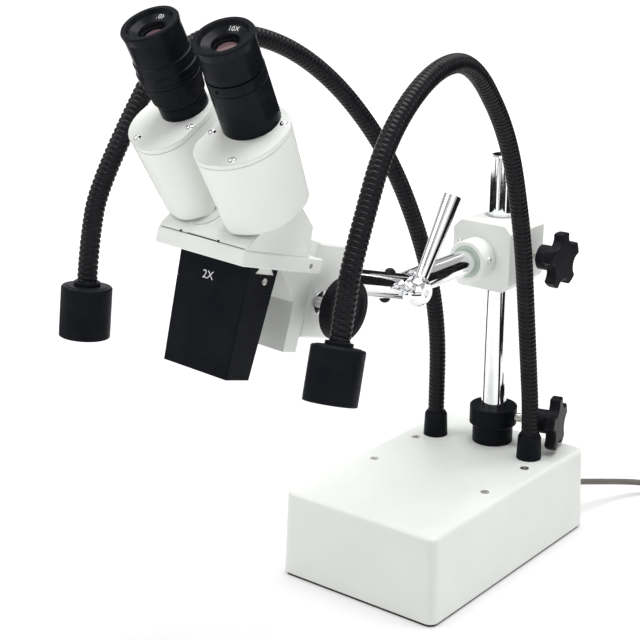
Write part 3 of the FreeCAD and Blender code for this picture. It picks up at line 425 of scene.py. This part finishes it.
def soften(profile, r, steps=4):
    """The profile with its inner corners rounded by about r."""
    points = [Vector(p) for p in profile]
    out = [points[0]]
    for before, corner, after in zip(points, points[1:], points[2:]):
        back, ahead = before - corner, after - corner
        reach = min(r, back.length * 0.48, ahead.length * 0.48)
        entry, leave = corner + back.normalized() * reach, corner + ahead.normalized() * reach
        for k in range(steps + 1):
            t = k / steps
            out.append(entry * (1 - t) ** 2 + corner * 2 * t * (1 - t) + leave * t * t)
    return out + [points[-1]]


def lathe(name, profile, place, finish, body, round_mm=0.4, turns=96, relief=None):
    """Turned piece from (radius, height) points in mm; relief(angle, radius, height) adds to a radius."""
    rings = soften(profile, round_mm)
    vertices = []
    for r, z in rings:
        for k in range(turns):
            a = 2 * pi * k / turns
            grown = r + (relief(a, r, z) if relief else 0)
            vertices.append(place @ mm(grown * cos(a), grown * sin(a), z))
    faces = []
    for i in range(len(rings) - 1):
        for k in range(turns):
            n = (k + 1) % turns
            faces.append((i * turns + k, i * turns + n, (i + 1) * turns + n, (i + 1) * turns + k))
    return piece(name, vertices, faces, finish, body)


def block(name, low, high, place, finish, body, bevel_mm=0.3):
    """Box with bevelled edges between two corners in millimetres of the frame place."""
    (x0, y0, z0), (x1, y1, z1) = low, high
    vertices = [place @ mm(x, y, z) for z in (z0, z1) for y in (y0, y1) for x in (x0, x1)]
    faces = [(0, 2, 3, 1), (4, 5, 7, 6), (0, 1, 5, 4), (2, 6, 7, 3), (0, 4, 6, 2), (1, 3, 7, 5)]
    made = piece(name, vertices, faces, finish, body, smooth=False)
    bevel = made.modifiers.new("bevel", "BEVEL")
    bevel.width = bevel_mm * MM
    bevel.segments = 3
    return made


def lettering(name, text, height_mm, place, body):
    """Flat printed marking whose middle is at the frame place, reading along its X."""
    data = bpy.data.curves.new(name, "FONT")
    data.body = text
    data.size = height_mm * MM * 1.4
    data.align_x = "CENTER"
    data.align_y = "CENTER"
    data.extrude = 0.03 * MM
    data.materials.append(PRINT_WHITE)
    made = bpy.data.objects.new(name, data)
    made.matrix_world = place
    bpy.context.scene.collection.objects.link(made)
    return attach(made, body)


# ---------------------------------------------------------------- mains lead

CORD_DIAMETER = 5.0
GLAND_POINT = mm(43.62, 33.0, 31.0)
CORD_ROUTE = [
    (50.0, 53.8, 25.6), (56.5, 75.0, 20.1), (64.5, 97.0, 14.8), (76.0, 117.0, 10.4),
    (92.0, 132.0, 6.0), (112.0, 137.5, 2.8), (130.0, 135.0, 2.6),
]
COIL_CENTRE = (148.0, 168.0)
COIL_OUTER_R = 35.0
COIL_TURNS_DOWN = 4
COIL_END_TURN = 7.4
COIL_POINTS = 16
COIL_LOW_Z = 2.6
COIL_MEAN_R = 27.5
PLUG_POINT = (128.0, 203.0, 7.0)
PLUG_APPROACH = [(153.0, 205.0, 7.6), (140.0, 204.5, 7.3)]
PIN_X = 6.35
TIE_Z = 5.75
TIE_HALF = (10.9, 5.0)
TIE_HALF_WIDTH = 3.5
TIE_THICKNESS = 0.7
TIE_SIDES = 48


def eased(t):
    """Smooth step from 0 to 1."""
    t = max(0.0, min(1.0, t))
    return t * t * (3 - 2 * t)


def coil_point(turn):
    """Point of the coil after that many turns: inwards on the floor, then outwards on top."""
    inner_r = COIL_OUTER_R - CORD_DIAMETER * (COIL_TURNS_DOWN - 1)
    if turn < COIL_TURNS_DOWN:
        steps = floor(turn) + eased((turn % 1 - 0.8) / 0.2)
        r = max(inner_r, COIL_OUTER_R - CORD_DIAMETER * steps)
    else:
        steps = floor(turn) - COIL_TURNS_DOWN + eased((turn % 1 - 0.4) / 0.2)
        r = min(COIL_OUTER_R, inner_r + CORD_DIAMETER * steps)
    z = COIL_LOW_Z + CORD_DIAMETER * eased((turn - 3.6) / 0.22)
    control_r = r / ((1 + cos(pi / COIL_POINTS)) / 2)
    angle = 2 * pi * turn - pi / 2
    return (COIL_CENTRE[0] + control_r * cos(angle), COIL_CENTRE[1] + control_r * sin(angle), z)


def make_plug():
    """Two-pin plug: grip body with ribs, tapered sleeve and pins."""
    place = along(mm(*PLUG_POINT), (-1, 0, 0))
    black = MATERIALS["black_plastic"]
    sleeve = [(0, -0.5), (3.0, -0.5), (3.2, 1.5), (2.7, 2.2), (3.7, 4.5), (3.2, 5.2), (4.3, 8), (3.8, 8.7),
              (4.9, 12), (5.5, 16)]
    plug = lathe("plug_sleeve", sleeve, place, black, "base", 0.5, 40)
    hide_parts("plug")
    body = block("plug_body", (-10.0, -6.4, 14), (10.0, 6.4, 44), place, black, "base", 4.0)
    body.modifiers["bevel"].segments = 6
    pieces = [plug, body]
    for k in range(5):
        z = 20 + 4 * k
        low, high = (-10.5, -4, z), (10.5, 4, z + 1.6)
        pieces.append(block(f"plug_grip_{k}", low, high, place, black, "base", 0.7))
    pin = [(0, 43), (2.2, 43), (2.2, 61), (1.2, 62), (0, 62)]
    steel = MATERIALS["zinc_steel"]
    for letter, x in (("a", -PIN_X), ("b", PIN_X)):
        shifted = place @ Matrix.Translation(mm(x, 0, 0))
        pieces.append(lathe(f"plug_pin_{letter}", pin, shifted, steel, "base", 0.5, 32))
    return pieces


def make_strain_relief():
    """Ribbed tapered sleeve where the lead leaves the base."""
    exit_point = mm(*CORD_ROUTE[0])
    length = (exit_point - GLAND_POINT).length / MM
    profile = [(7.2, -0.4), (7.2, 2.2), (4.9, 2.6)]
    for k in range(5):
        z = 4.0 + k * (length - 4.5) / 5
        r = 4.8 - 1.6 * z / length
        profile += [(r, z), (r, z + 1.9), (r - 0.8, z + 2.2), (r - 0.8, z + 3.0)]
    profile += [(3.0, length), (2.5, length)]
    place = along(GLAND_POINT, exit_point - GLAND_POINT)
    sleeve = lathe("strain_relief", profile, place, MATERIALS["black_plastic"], "base", 0.3, 48)
    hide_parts("cord_gland")
    return sleeve


def make_cord():
    """Mains lead on one NURBS spline: out of the gland, down to the floor and into its coil."""
    turns = int(COIL_END_TURN * COIL_POINTS)
    points = CORD_ROUTE + [coil_point(k / COIL_POINTS) for k in range(turns + 1)]
    points += PLUG_APPROACH + [PLUG_POINT]
    data = bpy.data.curves.new("mains_lead", "CURVE")
    data.dimensions = "3D"
    data.bevel_depth = CORD_DIAMETER / 2 * MM
    data.bevel_resolution = 6
    data.resolution_u = 8
    data.use_fill_caps = True
    spline = data.splines.new("NURBS")
    spline.points.add(len(points) - 1)
    for control, point in zip(spline.points, points):
        control.co = (*mm(*point), 1)
    spline.order_u = 3
    spline.use_endpoint_u = True
    data.materials.append(MATERIALS["cord_grey"])
    lead = bpy.data.objects.new("mains_lead", data)
    bpy.context.scene.collection.objects.link(lead)
    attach(lead, "base")
    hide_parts("power_cord", "cord_coil")
    tie = make_tie()
    pieces = make_plug() + [make_strain_relief(), tie]


def squared(value):
    """A sine or cosine pushed outwards, which turns a circle into a box with rounded corners."""
    return abs(value) ** 0.35 * (1 if value > 0 else -1)


def make_tie():
    """Flat band round the coil's bundle, with rounded corners."""
    place = along(mm(COIL_CENTRE[0] + COIL_MEAN_R, COIL_CENTRE[1], TIE_Z), (0, 1, 0))
    half_x, half_y = TIE_HALF
    n = TIE_SIDES
    section = [(half_x * squared(cos(2 * pi * k / n)), half_y * squared(sin(2 * pi * k / n))) for k in range(n)]
    vertices, faces = [], []
    wide, thick = TIE_HALF_WIDTH, TIE_THICKNESS
    for grow, z in ((0, -wide), (thick, -wide), (thick, wide), (0, wide)):
        for u, v in section:
            vertices.append(place @ mm(u * (1 + grow / half_x), v * (1 + grow / half_y), z))
    for i in range(4):
        for k in range(n):
            m, j = (k + 1) % n, (i + 1) % 4
            faces.append((i * n + k, i * n + m, j * n + m, j * n + k))
    return piece("cord_tie", vertices, faces, MATERIALS["black_plastic"], "base")


make_cord()

# ---------------------------------------------------------------- goosenecks and lamps

NECK_R = 6.5
RIB_PITCH = 3.5
RIB_DEPTH = 0.7
RIB_SAMPLES = 8
RIB_GROOVE = 0.26
NECK_SIDES = 28
LAMP_R = 16.5
LAMP_LENGTH = 34.0
RIGHT_NECK = [
    [(42, -14, 68.5), (42, -14, 101.5), (42.6, -18, 120.5)],
    [(42.6, -18, 120.5), (44.6, -33, 192.5), (46.0, -47, 258.5), (49.5, -78, 333.5), (53.2, -108.5, 361)],
    [(53.2, -108.5, 361), (56.5, -136, 388.5), (63, -190, 391), (70, -247, 360.5), (73, -265, 335)],
    [(73, -265, 335), (76, -291, 289.5), (76.6, -296.5, 268.5), (78, -305, 243)],
]
LEFT_NECK = [
    [(-42.6, -18, 68.5), (-42.6, -18, 122.5)],
    [(-42.6, -18, 122.5), (-42.6, -18, 162.5), (-46, -40, 234.5), (-52.5, -78, 307.5), (-57.5, -104, 336.5)],
    [(-57.5, -104, 336.5), (-63, -129, 365.5), (-76, -184, 399.5), (-90, -245, 405.5), (-98, -280, 372.5)],
    [(-98, -280, 372.5), (-106, -315, 318.5), (-109, -324, 278.5), (-109.6, -327, 250.5)],
]


def smooth_line(points, samples=24):
    """Points of the quadratic spline that starts and ends on the control points."""
    points = [Vector(p) for p in points]
    if len(points) == 2:
        return [points[0].lerp(points[1], k / samples) for k in range(samples + 1)]
    middles = [points[0]] + [(a + b) / 2 for a, b in zip(points[1:], points[2:-1])] + [points[-1]]
    line = [points[0]]
    for start, corner, end in zip(middles, points[1:], middles[1:]):
        for k in range(1, samples + 1):
            t = k / samples
            line.append(start * (1 - t) ** 2 + corner * 2 * t * (1 - t) + end * t * t)
    return line


def even_steps(line, step):
    """The line's points and directions at even steps of length."""
    lengths = [0.0]
    for a, b in zip(line, line[1:]):
        lengths.append(lengths[-1] + (b - a).length)
    count = max(2, round(lengths[-1] / step))
    spots, k = [], 0
    for i in range(count + 1):
        s = lengths[-1] * i / count
        while k < len(line) - 2 and lengths[k + 1] < s:
            k += 1
        t = (s - lengths[k]) / max(1e-9, lengths[k + 1] - lengths[k])
        spots.append(line[k].lerp(line[k + 1], t))
    return spots, lengths[-1]


def rib(phase):
    """Depth of the gooseneck's groove at a phase of its winding, 0 to 1."""
    from_groove = min(phase % 1, 1 - phase % 1)
    return RIB_DEPTH * (1 - eased(from_groove / RIB_GROOVE))


def neck_mesh(name, line, offset):
    """Ribbed tube along the line, its winding carried on from offset; returns it and its length."""
    spots, length = even_steps(line, RIB_PITCH / RIB_SAMPLES)
    vertices, faces = [], []
    side = Vector((1, 0, 0))
    for i, spot in enumerate(spots):
        ahead = spots[min(i + 1, len(spots) - 1)] - spots[max(i - 1, 0)]
        ahead.normalize()
        side = (side - ahead * side.dot(ahead)).normalized()
        up = ahead.cross(side)
        s = offset + length * i / (len(spots) - 1)
        for k in range(NECK_SIDES):
            a = 2 * pi * k / NECK_SIDES
            r = NECK_R - rib(s / RIB_PITCH + k / NECK_SIDES)
            vertices.append((spot + (side * cos(a) + up * sin(a)) * r) * MM)
    n = NECK_SIDES
    for i in range(len(spots) - 1):
        for k in range(n):
            faces.append((i * n + k, i * n + (k + 1) % n, (i + 1) * n + (k + 1) % n, (i + 1) * n + k))
    faces.append(tuple(reversed(range(n))))
    faces.append(tuple((len(spots) - 1) * n + k for k in range(n)))
    return piece(name, vertices, faces, MATERIALS["neck_black"]), length


def make_neck(side, segments):
    """One gooseneck in three pieces that ride on no body, each running smoothly across one joint."""
    lines = [smooth_line(points) for points in segments]
    halves = [None] + [len(line) // 2 for line in lines[1:3]] + [None]
    parts = [
        lines[0] + lines[1][1:halves[1] + 1],
        lines[1][halves[1]:] + lines[2][1:halves[2] + 1],
        lines[2][halves[2]:] + lines[3][1:],
    ]
    offset = 0.0
    stands_for = [(1, 2), (3,), (4,)]
    for i, line in enumerate(parts):
        neck, length = neck_mesh(f"gooseneck_{side}_{i + 1}", line, offset)
        offset += length
        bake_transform(neck)
        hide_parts(*[f"neck_{side}_{k}" for k in stands_for[i]])


def make_lamp(side, segments):
    """Lamp shade with its entry ferrule, reflector and bulb behind the glass."""
    top, before = Vector(segments[-1][-1]), Vector(segments[-1][-2])
    place = along(top * MM, top - before)
    body = f"{side}_lamp"
    enamel = MATERIALS["black_enamel"]
    r, end = LAMP_R, LAMP_LENGTH
    shade = [(6.0, 0.0), (13.6, 0.0), (13.9, 0.5), (r - 0.9, 0.5), (r, 1.5), (r, end - 0.5), (r - 0.5, end),
             (r - 1.6, end), (r - 1.8, end - 0.5), (r - 1.8, end - 12), (0, end - 12)]
    shell = lathe(f"lamp_shade_{side}", shade, place, enamel, body, 0.5)
    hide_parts(f"lamp_shell_{side}")
    ferrule = [(6.4, -2.6), (8.2, -2.6), (8.6, -2.0), (8.6, 0.3)]
    lathe(f"lamp_ferrule_{side}", ferrule, place, enamel, body, 0.4)
    bowl = [(0, end - 11.5), (4.5, end - 11.3), (9.5, end - 9.5), (r - 2.0, end - 3.8)]
    lathe(f"lamp_reflector_{side}", bowl, place, REFLECTOR, body, 1.5)
    bulb = [(0, end - 7.6), (1.6, end - 7.8), (2.2, end - 8.6), (2.2, end - 11.6)]
    lathe(f"lamp_bulb_{side}", bulb, place, MATERIALS["lamp_glass"], body, 0.6, 32)


for lamp_side, lamp_neck in (("right", RIGHT_NECK), ("left", LEFT_NECK)):
    make_neck(lamp_side, lamp_neck)
    make_lamp(lamp_side, lamp_neck)

# ---------------------------------------------------------------- knobs and rings

FOCUS_KNOB_X = (38.0, 47.0)
FOCUS_AXIS = HEAD @ Matrix.Translation(mm(0, -124.4, -11.3))


def make_focus_knobs():
    """Focus knobs with a straight knurled rim and a dished face."""
    black = MATERIALS["black_plastic"]
    inner, outer = FOCUS_KNOB_X
    knurls = 72
    profile = [(3.6, inner - 8), (8.0, inner - 8), (8.0, inner), (19.2, inner), (20.0, inner + 0.8)]
    profile += [(20.0, inner + k) for k in (2.5, 4.5, 6.5)]
    profile += [(20.0, outer - 0.8), (19.2, outer), (14.4, outer), (13.2, outer - 1.4), (0, outer - 1.4)]

    def knurl(a, r, z):
        """Depth of the straight grooves round the rim."""
        return -0.32 * (0.5 + 0.5 * cos(knurls * a)) ** 3 if r > 19.6 and z > inner else 0

    for side, name in ((1, "right"), (-1, "left")):
        place = FOCUS_AXIS @ Matrix.Rotation(side * pi / 2, 4, "Y")
        knob = lathe(f"focus_grip_{name}", profile, place, black, "focus_drive", 0.5, 8 * knurls,
                     knurl)
        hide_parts(f"focus_knob_{name}")


def make_dioptre_ring():
    """Dioptre ring with a slanting knurl between two plain rims."""
    knurls = 64
    low, high = 66.6, 78.2
    profile = [(12.9, 65.6), (15.5, 65.6), (15.9, 66.0)]
    profile += [(16.0 + 1.6 * k / 16, low + (high - low) * k / 16) for k in range(17)]
    profile += [(17.6, 78.6), (17.0, 79.0), (17.6, 79.4), (17.7, 81.2), (12.9, 81.2)]

    def knurl(a, r, z):
        """Depth of the slanting grooves between the rims."""
        if not low <= z <= high:
            return 0
        return -0.30 * (0.5 + 0.5 * cos(knurls * a + 1.05 * (z - low)))

    ring = lathe("dioptre_grip", profile, pod_frame(-1), MATERIALS["black_anodised"], "left_dioptre",
                 0.05, 8 * knurls, knurl)
    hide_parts("dioptre_ring")


make_focus_knobs()
make_dioptre_ring()

# ---------------------------------------------------------------- small details

SLAB_TOP = 17.3
HOUSING_FRONT = -219.5
HOUSING_HALF_WIDTH = 34.5
RIM_TILT = 21.8
MARK_TURN = 9.0
SWITCH_MIDDLE = (-32.0, 36.5)
BEZEL_HALF = (12.5, 12.0)
BEZEL_RIM = 2.6
BASE_BACK_Y = 33.0
BOX_FRONT = -204.88
BOX_LEAN = atan2(2.6, 68.0)


def make_head_details():
    """Painted shade strips along the joint and in the notches under the housing, slab set screw, box marking."""
    # Painted shade: thin near-black strips and discs laid on the housing's front where its joint with the slab and
    # its notches lie in shadow.
    gap = SHADOW_GAP
    w = HOUSING_HALF_WIDTH
    joint_z = SLAB_TOP + 0.02
    for name, left, right, out, top in (("joint_shade_strip", -w + 1.5, w - 2, 0.12, SLAB_TOP + 0.42),
                                        ("wide_shade_strip", -w + 22, w - 24, 0.16, SLAB_TOP + 0.8)):
        low, high = (left, HOUSING_FRONT - out, joint_z), (right, HOUSING_FRONT + 1, top)
        block(name, low, high, HEAD, gap, "carriage", 0.08)
    notch = [(0, 0.5), (1.0, 0.5), (1.1, 0.3), (1.1, -1)]
    for k, x in enumerate((-17.5, 12.0)):
        spot = HEAD @ Matrix.Translation(mm(x, HOUSING_FRONT + 0.2, SLAB_TOP + 0.4))
        lathe(f"notch_shade_{k}", notch, spot @ Matrix.Rotation(pi / 2, 4, "X"), gap, "carriage", 0.1, 24)
    hole = HEAD @ Matrix.Translation(mm(35, -157, 12.3)) @ Matrix.Rotation(pi / 2, 4, "Y")
    screw = [(0.8, -3.2), (0.85, -1.7), (1.5, -1.6), (1.55, -3.4)]
    lathe("slab_set_screw", screw, hole, MATERIALS["zinc_steel"], "carriage", 0.1, 32)
    face = HEAD @ Matrix.Translation(mm(-2.6, BOX_FRONT, -4.5)) @ Matrix.Rotation(pi / 2 + BOX_LEAN, 4, "X")
    lettering("mark_2x", "2X", 5.1, face @ Matrix.Translation(mm(0, 0, 0.02)), "objective")


def make_eyepiece_details():
    """Rim markings, lens retaining rings and the right tube's set screw."""
    black = MATERIALS["black_anodised"]
    for side, name in ((1, "right"), (-1, "left")):
        pod = pod_frame(side)
        spot = Matrix.Translation(mm(0, 10.7, 110.17)) @ Matrix.Rotation(radians(RIM_TILT), 4, "X")
        turned = pod @ Matrix.Rotation(radians(MARK_TURN), 4, "Z") @ spot
        lettering(f"mark_10x_{name}", "10X", 3.0, turned, f"{name}_eyepiece")
        ring = [(6.6, 104.6), (7.4, 105.0), (7.45, 106.6), (7.0, 106.9), (6.3, 105.6)]
        lathe(f"lens_ring_{name}", ring, pod, black, f"{name}_eyepiece", 0.15, 72)
    hole = pod_frame(1) @ Matrix.Translation(mm(0, -17.2, 88)) @ Matrix.Rotation(pi / 2, 4, "X")
    screw = [(0.7, -1.7), (0.75, -0.6), (1.2, -0.5), (1.25, -2.2)]
    lathe("eyetube_set_screw", screw, hole, black, "right_pod", 0.1, 32)


def make_rocker_bezel():
    """Frame round the switch on the base's back."""
    middle_x, middle_z = SWITCH_MIDDLE
    half_x, half_z = BEZEL_HALF
    back, front = BASE_BACK_Y - 1.25, BASE_BACK_Y + 0.95
    vertices = []
    for inset, y in ((0, back), (0, front), (BEZEL_RIM, front), (BEZEL_RIM, back)):
        x, z = half_x - inset, half_z - inset
        for side_x, side_z in ((-1, -1), (1, -1), (1, 1), (-1, 1)):
            vertices.append(mm(middle_x + side_x * x, y, middle_z + side_z * z))
    faces = []
    for i in range(4):
        for k in range(4):
            n, j = (k + 1) % 4, (i + 1) % 4
            faces.append((i * 4 + k, j * 4 + k, j * 4 + n, i * 4 + n))
    black = MATERIALS["black_plastic"]
    bezel = piece("switch_bezel", vertices, faces, black, "base", smooth=False)
    bevel = bezel.modifiers.new("bevel", "BEVEL")
    bevel.width = 0.5 * MM
    bevel.segments = 3


make_head_details()
make_eyepiece_details()
make_rocker_bezel()

# ---------------------------------------------------------------- floor and light


FLOOR_HALF = 60.0
SCREEN_STEP = 2
STUDIO_CENTRE = (0, -0.12, 0.2)


def make_floor():
    """Pale floor that glows by itself so that it reads as a white sweep: painted light, weaker near the stand."""
    s = Surface("floor", (0.60, 0.60, 0.60), 0.8, Specular_IOR_Level=0.0, Emission_Color=(1, 1, 1, 1))
    reach = s.node("ShaderNodeVectorMath", {0: s.place}, operation="LENGTH").outputs["Value"]
    # Painted light: the floor's own glow is 0.30 near the stand and rises to 0.80 from 1.6 m out.
    glow = s.spread(reach, 0.35, 1.6, 0.30, 0.80)
    s.tree.links.new(glow, s.shader.inputs["Emission Strength"])
    s.color(s.mix(s.spread(s.noise(400, 3, 0.5), 0.3, 0.7), (0.60, 0.60, 0.60), (0.62, 0.62, 0.62)))
    half = FLOOR_HALF
    corners = [(-half, -half, 0), (half, -half, 0), (half, half, 0), (-half, half, 0)]
    floor_piece = piece("floor", corners, [(0, 1, 2, 3)], s.material, smooth=False)


def make_light(name, place, size, power):
    """Square soft light at place, aimed at the object."""
    data = bpy.data.lights.new(name, "AREA")
    data.shape = "SQUARE"
    data.size = size
    data.energy = power
    light = bpy.data.objects.new(name, data)
    light.matrix_world = along(place, Vector(place) - Vector(STUDIO_CENTRE))
    bpy.context.scene.collection.objects.link(light)


def make_screens(name, radius, low, high, sectors, glow=0.0):
    """Upright screens round the stand, black or glowing, which only the glossy surfaces see."""
    vertices, faces = [], []
    for start, end in sectors:
        for k in range(start, end, SCREEN_STEP):
            n = len(vertices)
            for angle in (k, k + SCREEN_STEP):
                a = radians(angle)
                vertices += [(radius * cos(a), radius * sin(a), z) for z in (low, high)]
            faces.append((n, n + 2, n + 3, n + 1))
    s = Surface(name, (0.01, 0.01, 0.01), 0.9, Specular_IOR_Level=0.0, Emission_Color=(1, 1, 1, 1),
                Emission_Strength=glow)
    screen = piece(name, vertices, faces, s.material, smooth=False)
    screen.visible_camera = False
    screen.visible_diffuse = False
    screen.visible_shadow = False
    screen.visible_transmission = False


def make_studio():
    """Pale surroundings, three soft boxes and the screens that the chrome mirrors."""
    world = bpy.data.worlds.new("studio")
    world.use_nodes = True
    background = world.node_tree.nodes["Background"]
    background.inputs["Color"].default_value = (1.0, 1.0, 1.0, 1)
    background.inputs["Strength"].default_value = 0.45
    bpy.context.scene.world = world
    make_light("key", (-1.1, -1.3, 1.7), 1.1, 15)
    make_light("top", (0.1, 0.1, 2.1), 1.4, 38)
    make_light("rim", (1.4, 0.9, 1.0), 0.9, 5)
    make_screens("screen_low", 0.70, 0.0, 0.14, ((-90, -30), (160, 250)))
    make_screens("screen_side", 0.42, 0.0, 0.28, ((-20, 6),))
    make_screens("screen_back", 0.70, 0.0, 0.55, ((-6, 126),))
    make_screens("glow_front", 1.00, 0.35, 1.30, ((-76, -20), (130, 170)), 1.1)
    bpy.context.scene.view_settings.view_transform = "Standard"


make_floor()
make_studio()
